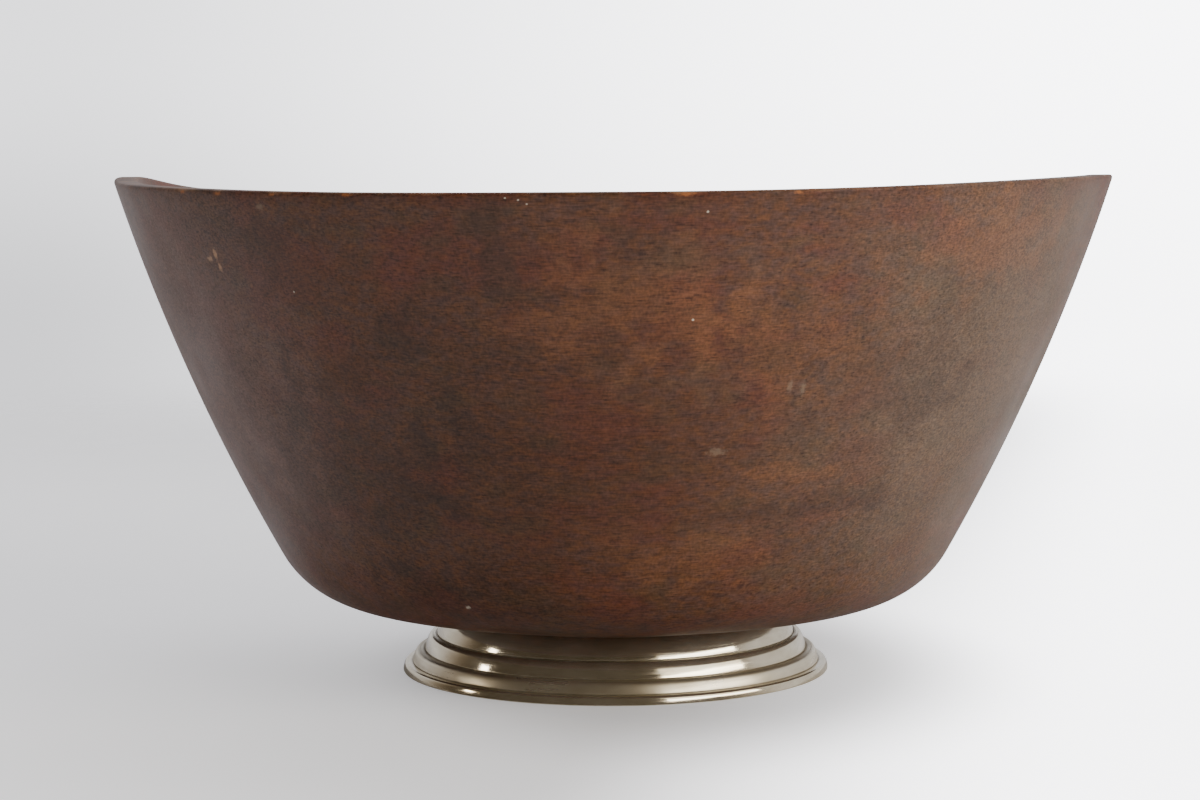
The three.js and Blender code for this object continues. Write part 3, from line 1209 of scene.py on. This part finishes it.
@dataclass
class SilverFoot:
    """The stepped silver ring: a flat flange, two beads and a neck, with a fine groove between them.

    Its radius and height come from the frame.

    Attributes:
        neck_slopes: how far the neck leans off upright at its foot, and what it nears further up.
        neck_bend: how far up the neck most of that change has happened.
        flange_leans: how far the flange's side leans off upright at its foot and at its top.
        lower_leans: the same for the lower bead.
        upper_leans: the same for the upper bead.
        boxiness: how square the shoulders are.
        groove: how deep the grooves are.
        lip: the size of the round lip at the bottom of each step.
        flange_reach: how far the hidden top flange runs in.
        groove_fade: how far from a groove its tarnish fades.
        inside_groove: how tarnished the hidden inside is.
    """

    radius: float
    height: float
    finish: TarnishedSilver
    flange_height: float = 2.15 * MM
    lower_height: float = 3.1 * MM
    upper_height: float = 4.0 * MM
    lower_setback: float = 2.5 * MM
    upper_setback: float = 3.2 * MM
    neck_setback: float = 3.2 * MM
    neck_slopes: Pair = (math.radians(12), math.radians(30))
    neck_bend: float = 4.2 * MM
    flange_leans: Pair = (math.radians(8), math.radians(19))
    lower_leans: Pair = (math.radians(12), math.radians(24))
    upper_leans: Pair = (math.radians(12.8), math.radians(23))
    boxiness: float = 8.0
    groove: float = 0.12 * MM
    lip: float = 0.1 * MM
    thickness: float = 0.9 * MM
    flange_reach: float = 11.5 * MM
    groove_fade: float = 0.26 * MM
    inside_groove: float = 0.6
    sides: int = 384
    neck_steps: int = 24
    lip_steps: int = 5
    face_steps: int = 40

    def steps(self) -> tuple[Step, Step, Step, Step]:
        """The flange, the lower bead, the upper bead and the neck, from the table up."""
        lower = self.radius - self.lower_setback
        upper = lower - self.upper_setback
        neck = upper - self.neck_setback
        lower_base = self.flange_height
        upper_base = lower_base + self.lower_height
        neck_base = upper_base + self.upper_height
        neck_height = self.height - neck_base
        taper = self.neck_curve(neck_height - self.lip)[-1, 0]
        return (
            Step(0.0, self.flange_height, self.radius, lower - self.groove),
            Step(lower_base, self.lower_height, lower, upper - self.groove),
            Step(upper_base, self.upper_height, upper, neck - self.groove),
            Step(neck_base, neck_height, neck, neck - taper),
        )

    def neck_curve(self, rise: float) -> np.ndarray:
        """How far the neck leans in on its way up.

        Its slope off upright starts at the first of its slopes and nears the second as it rises,
        like 1 - e^(-height / bend). The lean is the slope's tangent, summed up.

        Args:
            rise: how tall the neck is above its lip.

        Returns:
            Lean and height, one row each step.
        """
        height = np.linspace(0, rise, self.neck_steps + 1)
        low, high = self.neck_slopes
        slope = np.tan(high - (high - low) * np.exp(-height / self.neck_bend))
        leans = np.diff(height) * (slope[1:] + slope[:-1]) / 2
        return np.stack([np.concatenate([[0.0], np.cumsum(leans)]), height], axis=1)

    def lip_of(self, step: Step) -> np.ndarray:
        """The small round lip at the bottom of a step, out of the groove below it.

        Args:
            step: the step.

        Returns:
            The points, one row each.
        """
        return bend(
            np.array([step.radius - (self.groove if step.base else self.lip), step.base]),
            np.array([step.radius, step.base]),
            np.array([step.radius, step.base + self.lip]),
            self.lip_steps,
        )

    def face_line(self, step: Step, leans: Pair) -> np.ndarray:
        """The face of the flange or a bead: its lip, a leaning side, a round shoulder and a ledge.

        At a share u of its height, the face stands in from its radius by the height times
        (a u + (b - a) u^2 / 2), where a and b are the leans' tangents, plus the rest of the way to
        the next step times 1 - (1 - u^n)^(1/n), where n is the boxiness.

        Args:
            step: the step.
            leans: how far the side leans off upright at its foot and at its top.

        Returns:
            The points, one row each.
        """
        share = np.sin(np.linspace(0, math.pi / 2, self.face_steps + 1)[1:])
        rise = step.height - self.lip
        low, high = np.tan(leans)
        leaning = rise * (low * share + (high - low) * share**2 / 2)
        ledge = step.radius - step.above - leaning[-1]
        shoulder = 1 - (1 - share**self.boxiness) ** (1 / self.boxiness)
        radius = step.radius - leaning - ledge * shoulder
        face = np.stack([radius, step.base + self.lip + rise * share], axis=1)
        return np.concatenate([self.lip_of(step), face])

    def neck_line(self, step: Step) -> np.ndarray:
        """The neck: its lip, then a side that leans in more and more towards the wood."""
        lean = self.neck_curve(step.height - self.lip)[1:]
        start = (step.radius, step.base + self.lip)
        return np.concatenate([self.lip_of(step), start + lean * (-1.0, 1.0)])

    def outline(self) -> tuple[np.ndarray, dict[str, np.ndarray]]:
        """The ring's outline, up the outside and down the inside, and its marks.

        How deep a point is in a groove follows a bell curve of how far the nearest groove is.

        Returns:
            The points, one row each, and by name: how deep in a groove each lies, and how dull it is.
        """
        flange, lower, upper, neck = self.steps()
        lines = [
            self.face_line(flange, self.flange_leans),
            self.face_line(lower, self.lower_leans),
            self.face_line(upper, self.upper_leans),
            self.neck_line(neck),
        ]
        grooves = [(step.above, step.base + step.height) for step in (flange, lower, upper)]
        grooves += [(step.radius, step.base) for step in (lower, upper, neck)]
        wall = self.groove + self.thickness
        inner = [
            (neck.above - self.flange_reach, self.height),
            (neck.above - self.flange_reach, self.height - self.thickness),
            (neck.above - self.thickness, self.height - self.thickness),
            (neck.radius - wall, neck.base),
            (upper.radius - wall, upper.base),
            (lower.radius - wall, lower.base),
            (lower.radius - wall, 0.0),
        ]
        outer = np.concatenate(lines)
        away = np.min([np.hypot(outer[:, 0] - r, outer[:, 1] - h) for r, h in grooves], axis=0)
        depth = np.concatenate(
            [np.exp(-((away / self.groove_fade) ** 2)), np.full(len(inner), self.inside_groove)]
        )
        line = np.concatenate([outer, np.array(inner)])
        dull = np.zeros(len(line))
        dull[len(lines[0]) : len(lines[0]) + len(lines[1])] = 1.0
        return line, {"groove": depth, "dull": dull}

    def build(self) -> bpy.types.Object:
        """Builds and dresses the foot, in place of its plain solid, and returns it."""
        line, marks = self.outline()
        piece = evenly_turned("foot_silver", line, self.sides, Closure.ON_ITSELF, marks)
        piece.data.materials.append(self.finish.material())
        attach(piece, BODY)
        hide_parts("foot_shell")
        return piece


@dataclass
class FeltPad:
    """The felt disc under the core. Its radius and both faces come from the frame."""

    radius: float
    bottom: float
    top: float
    finish: WoolFelt
    rounding: float = 0.4 * MM
    sides: int = 256
    face_points: int = 12
    edge_steps: int = 5

    def build(self) -> bpy.types.Object:
        """Builds and dresses the pad, in place of its plain solid, and returns it."""
        flat_end = (self.radius - self.rounding, self.bottom)
        flat = np.linspace((0.0, self.bottom), flat_end, self.face_points)
        low_edge = bend(
            flat[-1],
            np.array([self.radius, self.bottom]),
            np.array([self.radius, self.bottom + self.rounding]),
            self.edge_steps,
        )
        back = np.linspace((self.radius, self.top), (0.0, self.top), self.face_points)
        line = np.concatenate([flat[:-1], low_edge, back])
        piece = evenly_turned("felt_pad", line, self.sides, Closure.ON_AXIS)
        piece.data.materials.append(self.finish.material())
        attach(piece, BODY)
        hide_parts("base_pad")
        return piece


@dataclass(frozen=True)
class Lamp:
    """A soft rectangular lamp that faces the bowl.

    Attributes:
        name: what it is called.
        azimuth: degrees from the front, towards +X.
        elevation: degrees above level, from the bowl's middle.
        distance: how far from the bowl's middle it stands.
        size: its width and height.
        power: its power in watts.
        colour: its sRGB colour.
        mirrored: whether glossy surfaces mirror it.
    """

    name: str
    azimuth: float
    elevation: float
    distance: float
    size: Pair
    power: float
    colour: str = "#fffaf2"
    mirrored: bool = True


@dataclass
class Studio:
    """A pale floor, soft light and a camera where the photograph was taken from.

    Attributes:
        lamps: the lamps.
        focal: the lens, in pixels of a picture 1200 wide.
        distance: how far the camera stands in front of the bowl's axis.
        height: how high it stands above the table.
        pitch: how far it looks down, in degrees.
        yaw: how far it looks to the right, in degrees.
        roll: how far it leans, in degrees.
        bowl_middle: the height that the lamps face.
        floor_fade: how far out the floor starts to fade, and where it is gone.
        floor_glow: the glow that lifts the floor on its dim side and on its bright side.
        glow_way: the way that counts as the bright side.
        glow_span: how far that way the glow starts to grow and where it is full.
        near_glow: how much of the glow is left in the bowl's shade.
        shade_middle: how far the shade's middle lies towards +X, times its squeeze.
        shade_squeeze: how much narrower the shade is along X.
        shade_span: how far from its middle the shade starts to fade and where it is gone.
        room_light: how strongly the room lights, in front of the bowl and behind it.
        room_way: the way from the room's dim side to its bright side.
        room_span: how far that way the room starts to brighten and where it is brightest.
        backdrop_light: how bright the backdrop looks at the left and at the right.
        backdrop_across: how far to the right it starts to brighten and where it is brightest.
        backdrop_up: the same for how far up.
        backdrop_top: how much brighter it looks higher up.
    """

    lamps: tuple[Lamp, ...]
    focal: float = 2432.0
    picture_width: float = 1200.0
    sensor: float = 36.0
    distance: float = 632.3 * MM
    height: float = 116.4 * MM
    pitch: float = 4.23
    yaw: float = -0.33
    roll: float = -0.34
    bowl_middle: float = 0.06
    floor_radius: float = 1.6
    floor_thickness: float = 1 * MM
    floor_sides: int = 128
    floor_colours: tuple[str, str] = ("#d6d6d8", "#dededf")
    floor_patch: float = 35 * MM
    floor_roughness: float = 0.7
    floor_fade: Pair = (0.28, 1.4)
    floor_glow: Pair = (0.6, 5.4)
    glow_way: Triple = (1.0, -0.22, 0.0)
    glow_span: Pair = (0.01, 0.135)
    near_glow: float = 0.3
    shade_middle: float = 32 * MM
    shade_squeeze: float = 1.5
    shade_span: Pair = (0.062, 0.14)
    room_colours: tuple[str, str] = ("#d2b896", "#f4f4f8")
    room_light: Pair = (0.08, 0.9)
    room_way: Triple = (0.3, 0.93, 0.2)
    room_span: Pair = (-0.25, 0.55)
    backdrop_colour: str = "#fbfbff"
    backdrop_light: Pair = (1.3, 7.0)
    backdrop_across: Pair = (-0.25, 0.27)
    backdrop_up: Pair = (-0.04, 0.07)
    backdrop_top: float = 0.8

    def camera(self) -> bpy.types.Object:
        """Adds the camera and returns it."""
        data = bpy.data.cameras.new("camera")
        data.sensor_width = self.sensor
        data.lens = self.focal / self.picture_width * self.sensor
        pitch, yaw, roll = (math.radians(a) for a in (self.pitch, self.yaw, self.roll))
        ahead = Vector(
            (math.sin(yaw) * math.cos(pitch), math.cos(yaw) * math.cos(pitch), -math.sin(pitch))
        )
        level = Vector((math.cos(yaw), -math.sin(yaw), 0.0))
        upright = level.cross(ahead)
        right = math.cos(roll) * level + math.sin(roll) * upright
        up = -math.sin(roll) * level + math.cos(roll) * upright
        aim = Matrix((right, up, -ahead)).transposed().to_4x4()
        place = Matrix.Translation((0.0, -self.distance, self.height))
        camera = bpy.data.objects.new("camera", data)
        bpy.context.scene.collection.objects.link(camera)
        camera.matrix_world = place @ aim
        bpy.context.scene.camera = camera
        return camera

    def lamp(self, lamp: Lamp) -> bpy.types.Object:
        """Adds a lamp.

        Args:
            lamp: its place, size and light.

        Returns:
            The lamp's object.
        """
        data = bpy.data.lights.new(lamp.name, "AREA")
        data.shape = "RECTANGLE"
        data.size, data.size_y = lamp.size
        data.energy = lamp.power
        data.color = linear(lamp.colour)[:3]
        light = bpy.data.objects.new(lamp.name, data)
        bpy.context.scene.collection.objects.link(light)
        turn, rise = math.radians(lamp.azimuth), math.radians(lamp.elevation)
        away = Vector(
            (math.sin(turn) * math.cos(rise), -math.cos(turn) * math.cos(rise), math.sin(rise))
        )
        light.location = Vector((0.0, 0.0, self.bowl_middle)) + away * lamp.distance
        light.rotation_euler = away.to_track_quat("Z", "Y").to_euler()
        light.visible_glossy = lamp.mirrored
        return light

    def change(
        self,
        tree: bpy.types.NodeTree,
        value: bpy.types.NodeSocket,
        towards: Triple,
        span: Pair,
        ends: Pair,
    ) -> bpy.types.Node:
        """A smooth change over a place or a direction, from how far it points one way.

        Args:
            tree: the node tree.
            value: the place or the direction.
            towards: the way that counts.
            span: the dot products where the change starts and ends.
            ends: the values there.

        Returns:
            The node that holds the change.
        """
        along = add_node(tree, "VectorMath", {0: value, 1: towards}, operation="DOT_PRODUCT")
        return add_node(
            tree,
            "MapRange",
            {
                "Value": along.outputs["Value"],
                "From Min": span[0],
                "From Max": span[1],
                "To Min": ends[0],
                "To Max": ends[1],
            },
            interpolation_type="SMOOTHSTEP",
        )

    def glow(self, tree: bpy.types.NodeTree, place: bpy.types.NodeSocket) -> bpy.types.Node:
        """The soft glow that lifts the floor where the camera looks at it.

        It grows towards the bright side and away from the bowl's shade, which lies a little to
        the right of the bowl's middle.

        Args:
            tree: the node tree.
            place: the place on the floor.

        Returns:
            The node that holds the glow's strength.
        """
        sideways = self.change(tree, place, self.glow_way, self.glow_span, self.floor_glow)
        beside = add_node(
            tree,
            "VectorMath",
            {0: place, 1: (self.shade_squeeze, 1.0, 1.0), 2: (-self.shade_middle, 0.0, 0.0)},
            operation="MULTIPLY_ADD",
        )
        from_shade = add_node(tree, "VectorMath", {0: beside}, operation="LENGTH")
        unshaded = add_node(
            tree,
            "MapRange",
            {
                "Value": from_shade.outputs["Value"],
                "From Min": self.shade_span[0],
                "From Max": self.shade_span[1],
                "To Min": self.near_glow,
            },
            interpolation_type="SMOOTHSTEP",
        )
        seen = add_node(tree, "LightPath").outputs["Is Camera Ray"]
        spread = add_node(tree, "Math", {0: sideways, 1: unshaded}, operation="MULTIPLY")
        return add_node(tree, "Math", {0: spread, 1: seen}, operation="MULTIPLY")

    def floor(self) -> bpy.types.Object:
        """Adds the floor, a painted disc that fades out far from the bowl, and returns it."""
        under = (self.floor_radius, -self.floor_thickness)
        rings = [(0.0, under[1]), under, (under[0], 0.0), (under[0] / 2, 0.0), (0.0, 0.0)]
        piece = evenly_turned("floor", np.array(rings), self.floor_sides, Closure.ON_AXIS)
        material, tree, paint = new_material("matt_paint")
        place = add_node(tree, "TexCoord").outputs["Object"]
        mottle = cloudy(tree, place, (self.floor_patch,) * 3, 5.0)
        dim, pale = self.floor_colours
        colour = lay(tree, linear(dim), pale, mottle, (0.0, 1.0), curve="LINEAR")
        fill(tree, paint, {"Base Color": colour, "Roughness": self.floor_roughness})
        # Painted light: seen by the camera, the floor glows, more towards the window's side and less
        # round the bowl, where the dimmer glow paints part of its shadow.
        lift = add_node(
            tree,
            "Emission",
            {"Color": linear(self.backdrop_colour), "Strength": self.glow(tree, place)},
        )
        lit = add_node(tree, "AddShader", {0: paint, 1: lift})
        away = add_node(tree, "VectorMath", {0: place}, operation="LENGTH")
        start, end = self.floor_fade
        fade = add_node(
            tree,
            "MapRange",
            {"Value": away.outputs["Value"], "From Min": start, "From Max": end},
            interpolation_type="SMOOTHERSTEP",
        )
        clear = add_node(tree, "BsdfTransparent")
        faded = add_node(tree, "MixShader", {0: fade, 1: lit, 2: clear})
        output = next(n for n in tree.nodes if n.type == "OUTPUT_MATERIAL")
        fill(tree, output, {"Surface": faded})
        piece.data.materials.append(material)
        return piece

    def surroundings(self) -> bpy.types.World:
        """Sets the world and returns it: a pale backdrop to look at, and a room to light by.

        The room is bright behind the bowl, as a white wall is, and dim in front of it.
        """
        world = bpy.data.worlds.new("room")
        bpy.context.scene.world = world
        world.use_nodes = True
        tree = world.node_tree
        tree.nodes.clear()
        way = add_node(tree, "TexCoord").outputs["Generated"]
        bright = self.change(tree, way, self.room_way, self.room_span, (0.0, 1.0))
        dim, pale = (linear(colour) for colour in self.room_colours)
        walls = add_node(tree, "Mix", {"Factor": bright, "A": dim, "B": pale}, data_type="RGBA")
        ahead, behind = self.room_light
        strength = add_node(tree, "MapRange", {"Value": bright, "To Min": ahead, "To Max": behind})
        room = add_node(tree, "Background", {"Color": walls, "Strength": strength})
        across = self.change(tree, way, (1.0, 0.0, 0.0), self.backdrop_across, self.backdrop_light)
        rise = (0.0, self.backdrop_top)
        up = self.change(tree, way, (0.0, 0.0, 1.0), self.backdrop_up, rise)
        both = add_node(tree, "Math", {0: across, 1: up}, operation="ADD")
        backdrop = add_node(
            tree, "Background", {"Color": linear(self.backdrop_colour), "Strength": both}
        )
        seen = add_node(tree, "LightPath").outputs["Is Camera Ray"]
        mixed = add_node(tree, "MixShader", {0: seen, 1: room, 2: backdrop})
        add_node(tree, "OutputWorld", {"Surface": mixed})
        return world

    def build(self) -> None:
        """Builds the whole studio."""
        self.camera()
        self.floor()
        self.surroundings()
        for lamp in self.lamps:
            self.lamp(lamp)


# A window at the right and its sill, a small lamp at the left, what both throw back off the walls,
# and the light from above.
LAMPS = (
    Lamp("window_right", 54.5, 22, 1.62, (1.6, 0.5), 6.5),
    Lamp("window_sill", 54.5, 13, 1.6, (1.6, 0.17), 8),
    Lamp("lamp_left", -83.4, 8.5, 1.5, (0.15, 0.15), 1.1, "#fff6ea"),
    Lamp("bounced_right", 54.5, 17, 1.6, (1.2, 0.6), 24, mirrored=False),
    Lamp("bounced_left", -83, 15, 1.6, (1.2, 0.6), 6.5, mirrored=False),
    Lamp("sky_panel", 180, 62, 1.8, (2.0, 1.2), 16, "#f3f6ff"),
)

# Painted sheen, grey at the right and violet-grey at the left, that stands in for light glancing
# off the satin film; and where the stain is deep and warm.
PAINTED_SHEEN_AND_STAIN = SpotKind(
    (
        Spot(54, 78, 78, 90, 0.68, Tint.PAINTED_SHEEN_GREY),
        Spot(-64, 78, 66, 88, 0.66, Tint.PAINTED_SHEEN_VIOLET),
        Spot(-2, 74, 52, 80, 0.26, Tint.RED_STAIN),
    ),
    tear_size=25 * MM,
    tear=0.8,
)

# Patches in the stain, from broad to small.
STAIN_PATCHES = SpotKind(
    (
        Spot(-36, 60, 40, 30, 0.4, Tint.DARK_STAIN),
        Spot(-44, 106, 30, 20, 0.2, Tint.DARK_STAIN),
        Spot(-32, 104, 20, 12, 0.35, Tint.RED_STAIN),
        Spot(-33, 84, 14, 9, 0.35, Tint.RED_STAIN),
        Spot(-30, 30, 26, 9, 0.35, Tint.DARK_STAIN),
        Spot(2, 98, 34, 20, 0.35, Tint.THIN_STAIN),
        Spot(20, 90, 30, 16, 0.3, Tint.THIN_STAIN),
        Spot(46, 111, 30, 13, 0.3, Tint.THIN_STAIN),
        Spot(11, 40, 24, 9, 0.3, Tint.THIN_STAIN),
        Spot(37, 78, 22, 15, 0.3, Tint.DARK_STAIN),
        Spot(9, 108, 30, 5, 0.22, Tint.GREY_STAIN),
        Spot(-12, 116, 9, 9, 0.4, Tint.DARK_STAIN),
        Spot(-11.6, 104, 9, 8, 0.5, Tint.DARK_STAIN),
        Spot(-25, 92, 10, 8, 0.42, Tint.DARK_STAIN),
        Spot(-40, 110, 9, 9, 0.3, Tint.DARK_STAIN),
        Spot(-24, 63, 9, 16, 0.35, Tint.DARK_STAIN),
        Spot(9, 81, 16, 5, 0.3, Tint.GREY_STAIN),
        Spot(23, 71, 6, 6, 0.4, Tint.DARK_STAIN),
        Spot(20, 50.5, 26, 1.8, 0.35, Tint.DARK_STAIN),
        Spot(36, 53, 22, 4, 0.35, Tint.DARK_STAIN),
        Spot(24, 60, 14, 2.6, 0.35, Tint.THIN_STAIN),
    ),
    tear_size=7 * MM,
    tear=3.4,
)

# Small marks, scuffs, specks and the bare wood in the rim's chips.
WEAR_MARKS = SpotKind(
    (
        Spot(-48.2, 109.4, 0.9, 2.2, 0.6, Tint.BARE_WOOD),
        Spot(-49.6, 108.2, 1.4, 0.9, 0.5, Tint.BARE_WOOD),
        Spot(-48.0, 106.2, 0.8, 1.5, 0.6, Tint.BARE_WOOD),
        Spot(20.5, 80.0, 0.9, 3.4, 0.42, Tint.SCUFFED_FILM),
        Spot(22.2, 79.4, 0.9, 3.8, 0.42, Tint.SCUFFED_FILM),
        Spot(12.6, 65.5, 2.8, 1.2, 0.45, Tint.SCUFFED_FILM),
        Spot(4.1, 75.8, 2.4, 0.9, 0.35, Tint.THIN_STAIN),
        Spot(-38.5, 119.8, 1.8, 0.9, 0.4, Tint.SCUFFED_FILM),
        Spot(-10.4, 121.1, 0.36, 0.3, 0.8, Tint.PALE_SPECK),
        Spot(-9.1, 120.7, 0.34, 0.3, 0.8, Tint.PALE_SPECK),
        Spot(-8.3, 119.8, 0.3, 0.3, 0.7, Tint.PALE_SPECK),
        Spot(9.2, 118.0, 0.34, 0.34, 0.8, Tint.PALE_SPECK),
        Spot(8.4, 95.1, 0.4, 0.3, 0.8, Tint.PALE_SPECK),
        Spot(-24.2, 27.3, 0.9, 0.7, 0.6, Tint.PALE_SPECK),
        Spot(-36.8, 101.0, 0.34, 0.34, 0.8, Tint.PALE_SPECK),
        Spot(-51.0, 123.4, 1.4, 0.6, 0.8, Tint.ORANGE_CHIP),
        Spot(-44.6, 122.8, 1.6, 0.6, 0.8, Tint.ORANGE_CHIP),
        Spot(-36.4, 122.4, 1.2, 0.5, 0.7, Tint.ORANGE_CHIP),
        Spot(-27.1, 122.1, 1.8, 0.5, 0.7, Tint.ORANGE_CHIP),
        Spot(7.1, 121.7, 2.4, 0.6, 0.7, Tint.ORANGE_CHIP),
        Spot(18.2, 122.0, 1.4, 0.5, 0.7, Tint.ORANGE_CHIP),
    ),
    tear_size=0.7 * MM,
    tear=1.6,
)

# Where the rim is knocked.
RIM_CHIPS = (
    Chip(-51.2, 3, 0.25),
    Chip(-44.7, 4, 0.3),
    Chip(-36.4, 3, 0.2),
    Chip(-27.1, 4, 0.2),
    Chip(7.1, 6, 0.2),
    Chip(18.2, 3, 0.2),
)


def dress_core(finish: BareWood) -> None:
    """Gives the hidden wooden core its finish."""
    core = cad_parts["foot_core"]
    core.data.materials.clear()
    core.data.materials.append(finish.material())


def dress_screws(finish: DullBrass) -> None:
    """Gives the hidden screws their finish."""
    material = finish.material()
    for name in sorted(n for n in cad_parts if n.startswith("foot_screw")):
        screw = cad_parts[name]
        screw.data.materials.clear()
        screw.data.materials.append(material)


def main() -> None:
    """Builds the studio and dresses every piece."""
    logging.basicConfig(level=logging.INFO, format="%(name)s: %(message)s")
    Studio(LAMPS).build()
    log.info("studio: %d lamps", len(LAMPS))
    bowl_low, bowl_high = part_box("bowl_body")
    _, foot_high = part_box("foot_shell")
    pad_low, pad_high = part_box("base_pad")
    bowl = WoodenBowl(
        reach=bowl_high.x,
        top=bowl_high.z,
        seat=bowl_low.z,
        finish=StainedHardwood(PAINTED_SHEEN_AND_STAIN, STAIN_PATCHES, WEAR_MARKS),
        chips=RIM_CHIPS,
    ).build()
    log.info("bowl: %d vertices", len(bowl.data.vertices))
    foot = SilverFoot(radius=foot_high.x, height=foot_high.z, finish=TarnishedSilver()).build()
    log.info("foot: %d vertices", len(foot.data.vertices))
    pad = FeltPad(radius=pad_high.x, bottom=pad_low.z, top=pad_high.z, finish=WoolFelt()).build()
    log.info("pad: %d vertices", len(pad.data.vertices))
    dress_core(BareWood())
    dress_screws(DullBrass())
    log.info("core and screws dressed")


if __name__ == "__main__":
    main()
